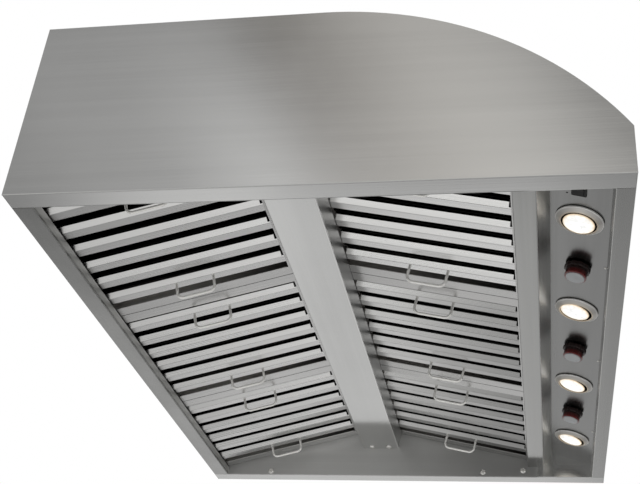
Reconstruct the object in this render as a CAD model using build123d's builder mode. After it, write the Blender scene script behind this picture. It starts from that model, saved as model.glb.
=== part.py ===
from build123d import *
import os
from math import sin, cos, tan, radians, sqrt

os.makedirs("parts", exist_ok=True)

# ---------------------------------------------------------------------------
# Outdoor range hood, wall mounted, millimetres.
# X runs along the hood, -Y is the user's side, +Y the wall, Z up.
# The bottom rim lies in Z = 0 and the origin is the middle of the rim.
# ---------------------------------------------------------------------------
width = 1219.2            # overall, 48 in
depth = 914.4             # overall, 36 in
height = 329.0            # rim to flat top
lip = 80.0                # upright front lip below the curved roof
sheet = 1.5               # stainless sheet
bend_r, fold_r = 1.4, 2.0 # outer radius of the rim bends and of the channel folds
end_box = 36.0            # thickness of the folded end panels
inner_wall_h = 108.0      # inner fold of the end panels
rear_flange = 33.2        # rear rim, forms the rear drip channel
front_flange = 27.2       # front rim

W2, D2 = width / 2, depth / 2
XI = W2 - end_box                       # inner faces of the end panels
XS = W2 - sheet                         # inner faces of the outer end skins
roof_r = (D2**2 + (height - lip) ** 2) / (2 * (height - lip))
roof_c = height - roof_r                # centre of the roof arc at Y = 0
Y_RET = -D2 + front_flange              # rear face of the front return

# light panel: rear edge, tilt, width
panel_y, panel_z, panel_tilt = -342.0, 56.6, 15.4
ps, pc = sin(radians(panel_tilt)), cos(radians(panel_tilt))
panel_w = (panel_y - Y_RET) / pc
panel_mid = 45.5                        # line of lamps and knobs across the panel
lamp_x = (-431.0, -147.0, 157.0, 442.0)
knob_x = (-293.0, 0.0, 293.0)
rocker_x, rocker_a = -510.0, 43.0
pilot_x, pilot_a, pilot_r = -496.0, 25.2, 1.6   # small hole beside the switch
panel_screw_x, panel_screw_a, panel_hole_r = (-304.0, 36.0, 381.0), panel_w - 2.6, 1.5
gasket_h, bezel_r = 1.0, 37.4           # seal between the panel and each lamp bezel; bezel radius

# drip rails under the filters
rail_y0, rail_y1, rail_z, rail_top, rail_lean = 14.7, 97.8, 67.1, 104.2, 7.25
rail_top_front, rail_lean_front = 102.4, 6.9
trough_y0, trough_y1, trough_z, trough_lip = -286.9, -322.0, 24.2, 39.8

# baffle filters
filter_pitch_x = 2 * XI / 3
filter_w = filter_pitch_x - 1.6
filter_t = 40.0
filter_gauge = 1.2
near_lip, far_lip = 26.0, 24.0                       # lips at the -X side and the +X side
low_lip, high_lip = {"rear": 12.0, "front": 26.4}, {"rear": 21.5, "front": 9.0}
shelf_y, shelf_z = 434.0, 14.4                       # ledge under the lower edges of the rear filters
slat_pitch, slat_shift, slat_flat, slat_flare, slat_h = 54.0, 4.4, 16.8, 9.6, 6.3
slat_bend = 2.0                    # fold radius
low_notch, high_notch = {"rear": 1.5, "front": 4.1}, {"rear": 4.5, "front": 2.0}   # flanges stop this far short of the lips
cap_flat, cap_flare, cap_h = 34.0, 5.0, 18.0
handle_wire, handle_span, handle_drop, handle_x = 5.0, 72.0, 32.0, (-134.0, 135.5)

# blowers and ducts
blower_x, blower_y, blower_z = 200.0, 250.0, 232.0
wheel_r, wheel_len, shaft_r, run_fit = 60.0, 116.0, 6.0, 0.08
duct_y, duct_r, duct_h, duct_gauge = 206.8, 100.0, 54.5, 1.2
damper_z, damper_rod_r = 352.0, 3.0

# fastenings and services
head_r, head_h = 7.0, 3.4          # pan heads on the rail and the inner folds
bolt_x, bolt_z0, bolt_z1, bolt_r = 406.4, 70.0, 290.0, 4.5
conduit_y, conduit_r = 380.0, 11.1


def save(builder, name):
    builder.part.label = name
    export_step(builder.part, f"parts/{name}.step")


def yz(x):
    """Sketch plane across the hood at station x, local axes Y and Z, facing +X."""
    return Plane(origin=(x, 0, 0), x_dir=(0, 1, 0), z_dir=(1, 0, 0))


def panel_plane(x, across=panel_mid, drop=0.0):
    """Plane on the underside of the light panel, facing down and rearwards."""
    return Plane(
        origin=(x, panel_y - across * pc + drop * ps, panel_z - across * ps - drop * pc),
        x_dir=(1, 0, 0),
        z_dir=(0, ps, -pc),
    )


def along(builder, axis, *spots):
    """Edges parallel to an axis whose other two coordinates match one of the spots."""
    pick = []
    for e in builder.edges().filter_by(axis):
        c = e.center()
        at = (c.X, c.Z) if axis == Axis.Y else (c.Y, c.Z)
        if any(abs(at[0] - q[0]) < 0.02 and abs(at[1] - q[1]) < 0.02 for q in spots):
            pick.append(e)
    return pick


def roof_z(y, r=roof_r):
    return roof_c + sqrt(r * r - y * y)


# wall screws on the inner folds: (y, z)
wall_screws = ((318.0, 9.0), (-184.5, 11.0), (-276.0, 15.0))
rail_screws = [(sx * (XI - 10), y) for sx in (-1, 1) for y in (36.25, 76.25)]
collar_screws = [
    (sx * blower_x + ax * 80.0, duct_y + ay * 80.0)
    for sx in (-1, 1) for ax in (-1, 1) for ay in (-1, 1)
]

# ---------------------------------------------------------------------------
# End panels: outer skin, folded rim and inner fold, one bent sheet each
# ---------------------------------------------------------------------------
for side, sx in (("left", -1), ("right", 1)):
    with BuildPart() as end_panel:
        with BuildSketch(yz(-W2 if sx < 0 else XS)):
            with BuildLine():
                Line((-D2, 0), (D2, 0))
                Line((D2, 0), (D2, height))
                Line((D2, height), (0, height))
                ThreePointArc((0, height), (-D2 * 0.55, roof_z(D2 * 0.55)), (-D2, lip))
                Line((-D2, lip), (-D2, 0))
            make_face()
        extrude(amount=sheet)
        with BuildSketch(yz(-W2 if sx < 0 else XI)):
            with Locations((0, sheet / 2)):
                Rectangle(depth - 2 * sheet, sheet)
        extrude(amount=end_box)
        with BuildSketch(yz(-XI - sheet if sx < 0 else XI)):
            with Locations(((D2 - sheet + Y_RET) / 2, inner_wall_h / 2)):
                Rectangle(D2 - sheet - Y_RET, inner_wall_h)
            with Locations(*wall_screws):
                Circle(2.2, mode=Mode.SUBTRACT)
        extrude(amount=sheet)
        fillet(along(end_panel, Axis.Y, (sx * W2, 0), (sx * XI, 0)), bend_r)
    save(end_panel, f"{side}_side_panel")

# ---------------------------------------------------------------------------
# Top panel with two duct openings and the conduit knockout
# ---------------------------------------------------------------------------
with BuildPart() as top_panel:
    with BuildSketch(Plane.XY.offset(height - sheet)):
        with Locations((0, (D2 - sheet) / 2)):
            Rectangle(2 * XS, D2 - sheet)
        with Locations((-blower_x, duct_y), (blower_x, duct_y)):
            Circle(duct_r - duct_gauge, mode=Mode.SUBTRACT)
        with Locations((0, conduit_y)):
            Circle(conduit_r, mode=Mode.SUBTRACT)
        with Locations(*collar_screws):
            Circle(2.2, mode=Mode.SUBTRACT)
    extrude(amount=sheet)
save(top_panel, "top_panel")

# ---------------------------------------------------------------------------
# Front visor: curved roof, upright lip, rim and the return that carries the
# front edge of the light panel
# ---------------------------------------------------------------------------
up = sheet / pc                                        # vertical thickness of the tilted panel
z_front = panel_z - (panel_y - Y_RET) * ps / pc        # panel underside at the return
with BuildPart() as front_visor:
    with BuildSketch(yz(-XS)):
        with BuildLine():
            Line((-D2, 0), (-D2 + sheet, 0))
            Line((-D2 + sheet, 0), (-D2 + sheet, roof_z(D2 - sheet, roof_r - sheet)))
            ThreePointArc(
                (-D2 + sheet, roof_z(D2 - sheet, roof_r - sheet)),
                (-D2 * 0.55, roof_z(D2 * 0.55, roof_r - sheet)),
                (0, height - sheet),
            )
            Line((0, height - sheet), (0, height))
            ThreePointArc((0, height), (-D2 * 0.55, roof_z(D2 * 0.55)), (-D2, lip))
            Line((-D2, lip), (-D2, 0))
        make_face()
    extrude(amount=2 * XS)
    with BuildSketch(yz(-XI)):
        with BuildLine():
            Polyline(
                (-D2 + sheet, 0),
                (Y_RET, 0),
                (Y_RET, z_front + up),
                (Y_RET + 14 * pc, z_front + up + 14 * ps),
                (Y_RET + 14 * pc - sheet * ps, z_front + up + 14 * ps + sheet * pc),
                (Y_RET - sheet, z_front + 2 * up - sheet * ps / pc),
                (Y_RET - sheet, sheet),
                (-D2 + sheet, sheet),
                close=True,
            )
        make_face()
    extrude(amount=2 * XI)
    fillet(along(front_visor, Axis.X, (-D2, 0), (Y_RET, 0)), bend_r)
    for x in panel_screw_x:
        with BuildSketch(panel_plane(x, panel_screw_a)):
            Circle(panel_hole_r)
        extrude(amount=-8, mode=Mode.SUBTRACT)
save(front_visor, "front_visor")

# ---------------------------------------------------------------------------
# Rear panel: wall sheet with bolt holes, rim, drip lip and filter ledge
# ---------------------------------------------------------------------------
yr = D2 - rear_flange
with BuildPart() as rear_panel:
    with BuildSketch(Plane(origin=(0, D2, 0), x_dir=(1, 0, 0), z_dir=(0, -1, 0))):
        with Locations((0, height / 2)):
            Rectangle(2 * XS, height)
        with Locations(*[(x, z) for x in (-bolt_x, bolt_x) for z in (bolt_z0, bolt_z1)]):
            Circle(bolt_r, mode=Mode.SUBTRACT)
    extrude(amount=sheet)
    with BuildSketch(yz(-XI)):
        with BuildLine():
            Polyline(
                (D2 - sheet, 0),
                (yr, 0),
                (yr - 0.8, 17.2),
                (yr + 0.7, 17.2),
                (yr + 1.43, sheet),
                (D2 - sheet, sheet),
                close=True,
            )
        make_face()
    extrude(amount=2 * XI)
    fillet(along(rear_panel, Axis.X, (D2, 0), (yr, 0)), bend_r)
    with BuildSketch(yz(-XI)):
        with Locations(((D2 - sheet + shelf_y) / 2, shelf_z - sheet / 2)):
            Rectangle(D2 - sheet - shelf_y, sheet)
    extrude(amount=2 * XI)
save(rear_panel, "rear_panel")

# ---------------------------------------------------------------------------
# Centre rail: open drip channel that carries the upper edges of the filters
# ---------------------------------------------------------------------------
with BuildPart() as center_rail:
    with BuildSketch(yz(-XI)):
        with BuildLine():
            Polyline(
                (rail_y0 - rail_lean_front, rail_top_front),
                (rail_y0, rail_z),
                (rail_y1, rail_z),
                (rail_y1 + rail_lean, rail_top),
                (rail_y1 + rail_lean - 1.53, rail_top),
                (rail_y1 - 1.25, rail_z + sheet),
                (rail_y0 + 1.25, rail_z + sheet),
                (rail_y0 - rail_lean_front + 1.53, rail_top_front),
                close=True,
            )
        make_face()
    extrude(amount=2 * XI)
    fillet(along(center_rail, Axis.X, (rail_y0, rail_z), (rail_y1, rail_z)), fold_r)
    with BuildSketch(Plane.XY.offset(rail_z)):
        with Locations(*rail_screws):
            Circle(2.2)
    extrude(amount=sheet, mode=Mode.SUBTRACT)
save(center_rail, "center_rail")

with BuildPart() as rail_brackets:
    for sx in (-1, 1):
        with BuildSketch(Plane(origin=(sx * XI, 0, 0), x_dir=(0, 1, 0), z_dir=(1, 0, 0))):
            with Locations(((rail_y0 + rail_y1) / 2, rail_z + sheet + 13.0)):
                Rectangle(54, 26)
        extrude(amount=-sx * 2.0)
        with BuildSketch(Plane.XY.offset(rail_z + sheet)):
            with Locations((sx * (XI - 11.0), (rail_y0 + rail_y1) / 2)):
                Rectangle(22, 54)
            with Locations(*[p for p in rail_screws if p[0] * sx > 0]):
                Circle(2.2, mode=Mode.SUBTRACT)
        extrude(amount=2.0)
save(rail_brackets, "rail_brackets")

# ---------------------------------------------------------------------------
# Front drip trough with the flange that lies on the light panel
# ---------------------------------------------------------------------------
un = sqrt((panel_y - trough_y1) ** 2 + (panel_z - trough_z) ** 2)
uy, uz = (panel_y - trough_y1) / un, (panel_z - trough_z) / un
iy, iz = panel_y + sheet * uz, panel_z - sheet * uy          # inner face of the sloping side
fy, fz = panel_y - 2 * sheet * ps, panel_z + 2 * sheet * pc  # top face of the flange
b = ((iy - fy) * uz - (iz - fz) * uy) / (pc * uz - ps * uy)
k = (iz - trough_z - sheet) / uz
with BuildPart() as front_trough:
    with BuildSketch(yz(-XI)):
        with BuildLine():
            Polyline(
                (trough_y0, trough_lip),
                (trough_y0, trough_z),
                (trough_y1, trough_z),
                (panel_y, panel_z),
                (panel_y - sheet * ps, panel_z + sheet * pc),
                (panel_y - sheet * ps - 14 * pc, panel_z + sheet * pc - 14 * ps),
                (fy - 14 * pc, fz - 14 * ps),
                (fy + b * pc, fz + b * ps),
                (iy - k * uy, trough_z + sheet),
                (trough_y0 - sheet, trough_z + sheet),
                (trough_y0 - sheet, trough_lip),
                close=True,
            )
        make_face()
    extrude(amount=2 * XI)
    fillet(along(front_trough, Axis.X, (trough_y0, trough_z), (trough_y1, trough_z)), fold_r)
save(front_trough, "front_trough")

# ---------------------------------------------------------------------------
# Light panel with lamp, control and switch cut-outs
# ---------------------------------------------------------------------------
with BuildPart() as light_panel:
    with BuildSketch(yz(-XI)):
        with BuildLine():
            Polyline(
                (panel_y, panel_z),
                (panel_y - sheet * ps, panel_z + sheet * pc),
                (Y_RET, z_front + up),
                (Y_RET, z_front),
                close=True,
            )
        make_face()
    extrude(amount=2 * XI)
    for x in lamp_x:
        with BuildSketch(panel_plane(x)):
            Circle(30.0)
        extrude(amount=-4, both=True, mode=Mode.SUBTRACT)
    for x in knob_x:
        with BuildSketch(panel_plane(x)):
            Circle(5.0)
        extrude(amount=-4, both=True, mode=Mode.SUBTRACT)
    with BuildSketch(panel_plane(rocker_x, rocker_a)):
        Rectangle(27.0, 18.6)
    extrude(amount=-4, both=True, mode=Mode.SUBTRACT)
    for x in panel_screw_x:
        with BuildSketch(panel_plane(x, panel_screw_a)):
            Circle(panel_hole_r)
        extrude(amount=-4, both=True, mode=Mode.SUBTRACT)
    with BuildSketch(panel_plane(pilot_x, pilot_a)):
        Circle(pilot_r)
    extrude(amount=-4, both=True, mode=Mode.SUBTRACT)
save(light_panel, "light_panel")

# ---------------------------------------------------------------------------
# Lamps: seal, spun conical bezel with its can, reflector lamp, holder
# ---------------------------------------------------------------------------
with BuildPart() as lamp_gaskets:
    for x in lamp_x:
        with BuildSketch(panel_plane(x)):
            Circle(bezel_r)
            Circle(30.0, mode=Mode.SUBTRACT)
        extrude(amount=gasket_h)
save(lamp_gaskets, "lamp_gaskets")

with BuildPart() as light_bezels:
    for x in lamp_x:
        pl = panel_plane(x)
        with BuildSketch(Plane(origin=pl.origin, x_dir=pl.x_dir, z_dir=-pl.y_dir)):
            with BuildLine():
                Polyline(
                    (27.5, -60.0), (27.5, 7.2), (28.4, 8.6), (30.0, 8.6), (35.6, 4.4), (bezel_r, 2.4), (bezel_r, gasket_h),
                    (29.5, gasket_h), (29.5, -62.0), (10.2, -62.0), (10.2, -60.0), close=True,
                )
            make_face()
        revolve(axis=Axis(pl.origin, pl.z_dir))
save(light_bezels, "light_bezels")

with BuildPart() as lamps:
    for x in lamp_x:
        pl = panel_plane(x)
        with BuildSketch(Plane(origin=pl.origin, x_dir=pl.x_dir, z_dir=-pl.y_dir)):
            with BuildLine():
                ThreePointArc((0, 8.6), (13.0, 8.2), (24.2, 6.6))
                Polyline((24.2, 6.6), (25.4, 5.4), (25.4, 0.2), (11.0, -32.0), (9.8, -34.0), (9.8, -62.0), (0, -62.0), (0, 8.6))
            make_face()
        revolve(axis=Axis(pl.origin, pl.z_dir))
save(lamps, "lamps")

with BuildPart() as lampholders:
    for x in lamp_x:
        with BuildSketch(panel_plane(x, drop=-62.0)):
            Circle(13.5)
        extrude(amount=-14.0)
        with BuildSketch(panel_plane(x, drop=-76.0)):
            Rectangle(12, 8)
        extrude(amount=-4.0)
save(lampholders, "lampholders")

# ---------------------------------------------------------------------------
# Rotary controls behind the panel and their knobs
# ---------------------------------------------------------------------------
with BuildPart() as rotary_controls:
    for x in knob_x:
        with BuildSketch(panel_plane(x, drop=-sheet)):
            RectangleRounded(36, 36, 4)
        extrude(amount=-20.0)
        with BuildSketch(panel_plane(x, drop=-sheet)):
            Circle(4.6)
        extrude(amount=sheet + 1.6)
        with BuildSketch(panel_plane(x, drop=-16.0)):
            Circle(3.0 + run_fit)
        extrude(amount=20.0, mode=Mode.SUBTRACT)
save(rotary_controls, "rotary_controls")

for i, x in enumerate(knob_x, 1):
    with BuildPart() as knob_body:
        with BuildSketch(panel_plane(x, drop=2.6)):
            Circle(21.2)
            with PolarLocations(25.9, 10):
                Circle(6.0, mode=Mode.SUBTRACT)
        extrude(amount=6.6)
        chamfer(knob_body.faces().sort_by(Axis(panel_plane(x).origin, panel_plane(x).z_dir))[-1].edges(), 0.8)
        with BuildSketch(panel_plane(x, drop=8.6)):
            Circle(17.6)
        extrude(amount=10.0, taper=2.0)
        with BuildSketch(panel_plane(x, drop=18.2)):
            Circle(15.6)
        extrude(amount=3.4)
        with BuildSketch(panel_plane(x, drop=-14.0)):
            Circle(3.0)
        extrude(amount=18.0)
    save(knob_body, f"knob_{i}_body")
    with BuildPart() as knob_ring:
        with BuildSketch(panel_plane(x, drop=18.6)):
            Circle(17.8)
            Circle(15.6, mode=Mode.SUBTRACT)
        extrude(amount=3.4)
        chamfer(knob_ring.edges().filter_by(GeomType.CIRCLE).sort_by(SortBy.RADIUS)[-2:], 0.6)
    save(knob_ring, f"knob_{i}_ring")
    with BuildPart() as knob_cap:
        with BuildSketch(panel_plane(x, drop=21.6)):
            Circle(15.4)
        extrude(amount=1.8)
        chamfer(knob_cap.edges().filter_by(GeomType.CIRCLE).sort_by(Axis(panel_plane(x).origin, panel_plane(x).z_dir))[-1], 0.7)
    save(knob_cap, f"knob_{i}_cap")

# ---------------------------------------------------------------------------
# Rocker switch: snap-in frame and paddle, stored pressed on one side
# ---------------------------------------------------------------------------
rocker_throw = 8.0
rk = panel_plane(rocker_x, rocker_a)
with BuildPart() as rocker_frame:
    with BuildSketch(rk):
        RectangleRounded(32, 23, 2.0)
    extrude(amount=1.4)
    with BuildSketch(rk):
        Rectangle(26.6, 18.2)
    extrude(amount=-20.0)
    with BuildSketch(panel_plane(rocker_x, rocker_a, 2.0)):
        Rectangle(24.4, 14.4)
    extrude(amount=-16.0, mode=Mode.SUBTRACT)
    with BuildSketch(Plane(origin=panel_plane(rocker_x, rocker_a, -3.0).origin, x_dir=(1, 0, 0), z_dir=rk.y_dir)):
        Circle(1.2 + run_fit)
    extrude(amount=8.4, both=True, mode=Mode.SUBTRACT)
save(rocker_frame, "rocker_frame")

pivot = panel_plane(rocker_x, rocker_a, -3.0)
tilt = radians(-rocker_throw)              # the end towards -X stands out
tilt_x = pivot.x_dir * cos(tilt) + pivot.z_dir * sin(tilt)
with BuildPart() as rocker_paddle:
    with BuildSketch(Plane(origin=pivot.origin, x_dir=tilt_x, z_dir=-pivot.y_dir)):
        with BuildLine():
            Polyline((-9.6, -3.0), (9.6, -3.0), (10.2, 7.4), (0, 5.6), (-10.2, 7.4), close=True)
        make_face()
    extrude(amount=6.8, both=True)
    with BuildSketch(Plane(origin=pivot.origin, x_dir=tilt_x, z_dir=-pivot.y_dir)):
        Circle(1.2)
    extrude(amount=8.0, both=True)
save(rocker_paddle, "rocker_paddle")

# ---------------------------------------------------------------------------
# Baffle filters. Each one is laid out on its own sloping plane: local x along
# the hood, local y up the slope, local z up through the filter.
# ---------------------------------------------------------------------------
# underside lines (low end, high end) in Y, Z
rear_low, rear_high = (416.5, 22.2), (105.3, 104.6)
front_low, front_high = (-285.6, 41.0), (7.7, 103.0)


def slope_frame(low, high, y_start, y_end):
    dy, dz = high[0] - low[0], high[1] - low[1]
    n = sqrt(dy * dy + dz * dz)
    dy, dz = dy / n, dz / n
    origin = (y_start, low[1] + (y_start - low[0]) * dz / dy)
    return origin, (dy, dz), abs((y_end - y_start) / dy)


rows = {
    "rear": (slope_frame(rear_low, rear_high, 443.0, 96.0), 274.8),
    "front": (slope_frame(front_low, front_high, -310.0, 17.7), -138.1),
}

slat_len = sqrt(slat_flare**2 + slat_h**2)
sn, cs = slat_h / slat_len, slat_flare / slat_len       # slope of the flanges
tip, root = slat_flat / 2 + slat_flare, slat_flat / 2 - (1 - cs) / sn
slat = [
    (-slat_flat / 2, 0), (slat_flat / 2, 0), (tip, slat_h), (tip - sn, slat_h + cs), (root, 1.0),
    (-root, 1.0), (-tip + sn, slat_h + cs), (-tip, slat_h),
]
cap = [
    (-cap_flat / 2 - cap_flare, -cap_h), (-cap_flat / 2 - cap_flare + 1.05, -cap_h), (-cap_flat / 2 + 0.7, -1.0),
    (cap_flat / 2 - 0.7, -1.0), (cap_flat / 2 + cap_flare - 1.05, -cap_h), (cap_flat / 2 + cap_flare, -cap_h),
    (cap_flat / 2, 0), (-cap_flat / 2, 0),
]

for row, ((start, (dy, dz), length), handle_y) in rows.items():
    for place, col in (("left", -1), ("center", 0), ("right", 1)):
        name = f"filter_{row}_{place}"
        up_slope = Vector(0, dy, dz)
        normal = Vector(0, -dz, dy) if dy > 0 else Vector(0, dz, -dy)
        across = up_slope.cross(normal)          # along +X on the front row, -X on the rear row
        base = Plane(origin=(col * filter_pitch_x, start[0], start[1]), x_dir=across, z_dir=normal)
        sgn = 1 if across.X > 0 else -1
        low, high = low_lip[row], high_lip[row]

        with BuildPart() as frame:
            # lower lips that carry the slats
            with BuildSketch(base):
                with Locations((0, length / 2)):
                    Rectangle(filter_w, length)
                with Locations((sgn * (near_lip - far_lip) / 2, (low + length - high) / 2)):
                    Rectangle(filter_w - near_lip - far_lip, length - low - high, mode=Mode.SUBTRACT)
            extrude(amount=filter_gauge)
            # upright web all round
            with BuildSketch(base):
                with Locations((0, length / 2)):
                    Rectangle(filter_w, length)
                    Rectangle(filter_w - 2 * filter_gauge, length - 2 * filter_gauge, mode=Mode.SUBTRACT)
            extrude(amount=filter_t)
            # upper lips
            with BuildSketch(base.offset(filter_t - filter_gauge)):
                with Locations((0, length / 2)):
                    Rectangle(filter_w, length)
                    Rectangle(filter_w - 84.0, length - 36.0, mode=Mode.SUBTRACT)
            extrude(amount=filter_gauge)
        save(frame, f"{name}_frame")

        end = base.from_local_coords((sgn * slat_shift, length - 2.0, filter_gauge))
        top = base.from_local_coords((sgn * slat_shift, length - 2.0, filter_t - filter_gauge))
        with BuildPart() as baffles:
            with BuildSketch(Plane(origin=end, x_dir=base.x_dir, z_dir=-base.y_dir)) as slats:
                with GridLocations(slat_pitch, 1, 6, 1):
                    Polygon(*slat, align=None)
                fillet([v for v in slats.vertices() if abs(v.Y) < 0.01], slat_bend)
                fillet([v for v in slats.vertices() if abs(v.Y - 1.0) < 0.01], slat_bend - 1.0)
            extrude(amount=length - 4.0)
            # flanges cut short of the lips at both ends
            with BuildSketch(base.offset(filter_gauge + 1.3)):
                for a, c in ((0, low + low_notch[row]), (length - high - high_notch[row], length)):
                    with Locations((0, (a + c) / 2)):
                        Rectangle(filter_w, c - a)
            extrude(amount=slat_h + 2.0, mode=Mode.SUBTRACT)
            with BuildSketch(Plane(origin=top, x_dir=base.x_dir, z_dir=-base.y_dir)):
                with GridLocations(slat_pitch, 1, 5, 1):
                    Polygon(*cap, align=None)
            extrude(amount=length - 4.0)
        save(baffles, f"{name}_baffles")

        grip = (handle_y - start[0]) / dy
        r = handle_wire / 2
        with BuildPart() as handles:
            for hx in handle_x:
                foot = base.from_local_coords((sgn * hx, grip, filter_gauge))
                with BuildLine(Plane(origin=foot, x_dir=base.y_dir, z_dir=base.x_dir)) as bend:
                    h = handle_drop + filter_gauge - r
                    FilletPolyline(
                        (-handle_span / 2 + r, 0), (-handle_span / 2 + r, -h),
                        (handle_span / 2 - r, -h), (handle_span / 2 - r, 0), radius=11.0,
                    )
                with BuildSketch(Plane(origin=bend.wires()[0] @ 0, z_dir=bend.wires()[0] % 0)):
                    Circle(r)
                sweep(path=bend.wires()[0])
        save(handles, f"{name}_handles")

# ---------------------------------------------------------------------------
# Blowers: scroll housing, wheel, motor and shaft, one set each side
# ---------------------------------------------------------------------------
def scroll_point(angle, r):
    return (blower_y + r * cos(radians(angle)), blower_z + r * sin(radians(angle)))


wrap = 1.2
half = 68.0
tongue, side0, low0, mid0, front0 = (80, 67.0), (0, 72.0), (-90, 82.0), (-135, 89.5), (180, 98.0)
inner = [scroll_point(*q) for q in (tongue, side0, low0, mid0, front0)]
outer = [scroll_point(a, q + wrap) for a, q in (tongue, side0, low0, mid0, front0)]
z_top = height - sheet

for side, sx in (("left", -1), ("right", 1)):
    xc = sx * blower_x
    with BuildPart() as housing:
        # rolled scroll wall and outlet walls
        with BuildSketch(yz(xc - half)):
            with BuildLine():
                ThreePointArc(inner[0], inner[1], inner[2])
                ThreePointArc(inner[2], inner[3], inner[4])
                Line(inner[4], (inner[4][0], z_top))
                Line((inner[4][0], z_top), (inner[4][0] - wrap, z_top))
                Line((inner[4][0] - wrap, z_top), outer[4])
                ThreePointArc(outer[4], outer[3], outer[2])
                ThreePointArc(outer[2], outer[1], (inner[0][0] + wrap, outer[0][1]))
                Line((inner[0][0] + wrap, outer[0][1]), (inner[0][0] + wrap, z_top))
                Line((inner[0][0] + wrap, z_top), (inner[0][0], z_top))
                Line((inner[0][0], z_top), inner[0])
            make_face()
        extrude(amount=2 * half)
        # side plates with inlet rings
        for x in (xc - half - wrap, xc + half):
            with BuildSketch(yz(x)):
                with BuildLine():
                    Line((outer[4][0], z_top), outer[4])
                    ThreePointArc(outer[4], outer[3], outer[2])
                    ThreePointArc(outer[2], outer[1], (inner[0][0] + wrap, outer[0][1]))
                    Line((inner[0][0] + wrap, outer[0][1]), (inner[0][0] + wrap, z_top))
                    Line((inner[0][0] + wrap, z_top), (outer[4][0], z_top))
                make_face()
                with Locations((blower_y, blower_z)):
                    Circle(50.0, mode=Mode.SUBTRACT)
            extrude(amount=wrap)
        # hanging flange under the top panel
        with BuildSketch(Plane.XY.offset(z_top - sheet)):
            with Locations((xc, duct_y)):
                Rectangle(212, 212)
            with Locations((xc, (inner[4][0] + inner[0][0]) / 2)):
                Rectangle(2 * half, inner[0][0] - inner[4][0], mode=Mode.SUBTRACT)
            with Locations(*[p for p in collar_screws if p[0] * sx > 0]):
                Circle(2.2, mode=Mode.SUBTRACT)
        extrude(amount=sheet)
    save(housing, f"blower_housing_{side}")

    with BuildPart() as impeller:
        hub_plane = Plane(origin=(xc, blower_y, blower_z), x_dir=(0, 1, 0), z_dir=(1, 0, 0))
        with BuildSketch(hub_plane.offset(-1.0)):
            Circle(wheel_r - 0.5)
            Circle(shaft_r, mode=Mode.SUBTRACT)
        extrude(amount=2.0)
        with BuildSketch(hub_plane.offset(-12.0)):
            Circle(14.0)
            Circle(shaft_r, mode=Mode.SUBTRACT)
        extrude(amount=24.0)
        with BuildSketch(hub_plane.offset(-wheel_len / 2)):
            with PolarLocations(54.0, 28):
                Rectangle(10.5, 1.2, rotation=32)
        extrude(amount=wheel_len)
        for off in (-wheel_len / 2, wheel_len / 2 - 4.0):
            with BuildSketch(hub_plane.offset(off)):
                Circle(wheel_r)
                Circle(52.0, mode=Mode.SUBTRACT)
            extrude(amount=4.0)
    save(impeller, f"impeller_{side}")

    with BuildPart() as rotor_shaft:
        with BuildSketch(hub_plane.offset(sx * 64.0)):
            Circle(shaft_r)
        extrude(amount=-sx * 212.0)
    save(rotor_shaft, f"rotor_shaft_{side}")

with BuildPart() as blower_motors:
    for sx in (-1, 1):
        xm = sx * (blower_x - half - wrap - 12.0)          # drive end of the motor
        mp = Plane(origin=(xm, blower_y, blower_z), x_dir=(0, 1, 0), z_dir=(-sx, 0, 0))
        with BuildSketch(mp):
            Circle(42.0)
        extrude(amount=70.0)
        with BuildSketch(mp.offset(-12.0)):
            with PolarLocations(49.0, 3, start_angle=90):
                Rectangle(32.0, 14.0)
        extrude(amount=18.0)
        with BuildSketch(mp.offset(70.0)):
            Circle(20.0)
        extrude(amount=8.0)
        with BuildSketch(mp.offset(-12.0)):
            Circle(shaft_r + run_fit)
        extrude(amount=80.0, mode=Mode.SUBTRACT)
save(blower_motors, "blower_motors")

# ---------------------------------------------------------------------------
# Duct collars with split back-draught dampers
# ---------------------------------------------------------------------------
for side, sx in (("left", -1), ("right", 1)):
    xc = sx * blower_x
    rod_plane = Plane(origin=(xc, duct_y, damper_z), x_dir=(0, 1, 0), z_dir=(1, 0, 0))
    with BuildPart() as collar:
        with BuildSketch(Plane.XY.offset(height)):
            with Locations((xc, duct_y)):
                Circle(127.0)
                Circle(duct_r - duct_gauge, mode=Mode.SUBTRACT)
            with Locations(*[p for p in collar_screws if p[0] * sx > 0]):
                Circle(2.2, mode=Mode.SUBTRACT)
        extrude(amount=sheet)
        with BuildSketch(Plane.XY.offset(height)):
            with Locations((xc, duct_y)):
                Circle(duct_r)
                Circle(duct_r - duct_gauge, mode=Mode.SUBTRACT)
        extrude(amount=sheet + duct_h)
        with BuildSketch(rod_plane.offset(-110.0)):
            Circle(damper_rod_r)
        extrude(amount=220.0, mode=Mode.SUBTRACT)
    save(collar, f"duct_collar_{side}")

    for half_name, sy in (("front", -1), ("rear", 1)):
        knuckles = ((-80, -40.5), (0.5, 40)) if sy < 0 else ((-40, -0.5), (40.5, 80))
        with BuildPart() as flap:
            with BuildSketch(Plane.XY.offset(damper_z - 0.6)):
                with Locations((xc, duct_y)):
                    Circle(96.0)
                with Locations((xc, duct_y - sy * 93.5)):
                    Rectangle(220, 200, mode=Mode.SUBTRACT)
                with Locations(*[(xc + (a + c) / 2, duct_y + sy * 5.5) for a, c in knuckles]):
                    Rectangle(knuckles[0][1] - knuckles[0][0], 4.0)
            extrude(amount=1.2)
            for a, c in knuckles:
                with BuildSketch(rod_plane.offset(a)):
                    Circle(5.0)
                    Circle(damper_rod_r + run_fit, mode=Mode.SUBTRACT)
                extrude(amount=c - a)
                with BuildSketch(rod_plane.offset(a)):
                    Circle(damper_rod_r + run_fit)
                extrude(amount=c - a, mode=Mode.SUBTRACT)
        save(flap, f"damper_flap_{side}_{half_name}")

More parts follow.
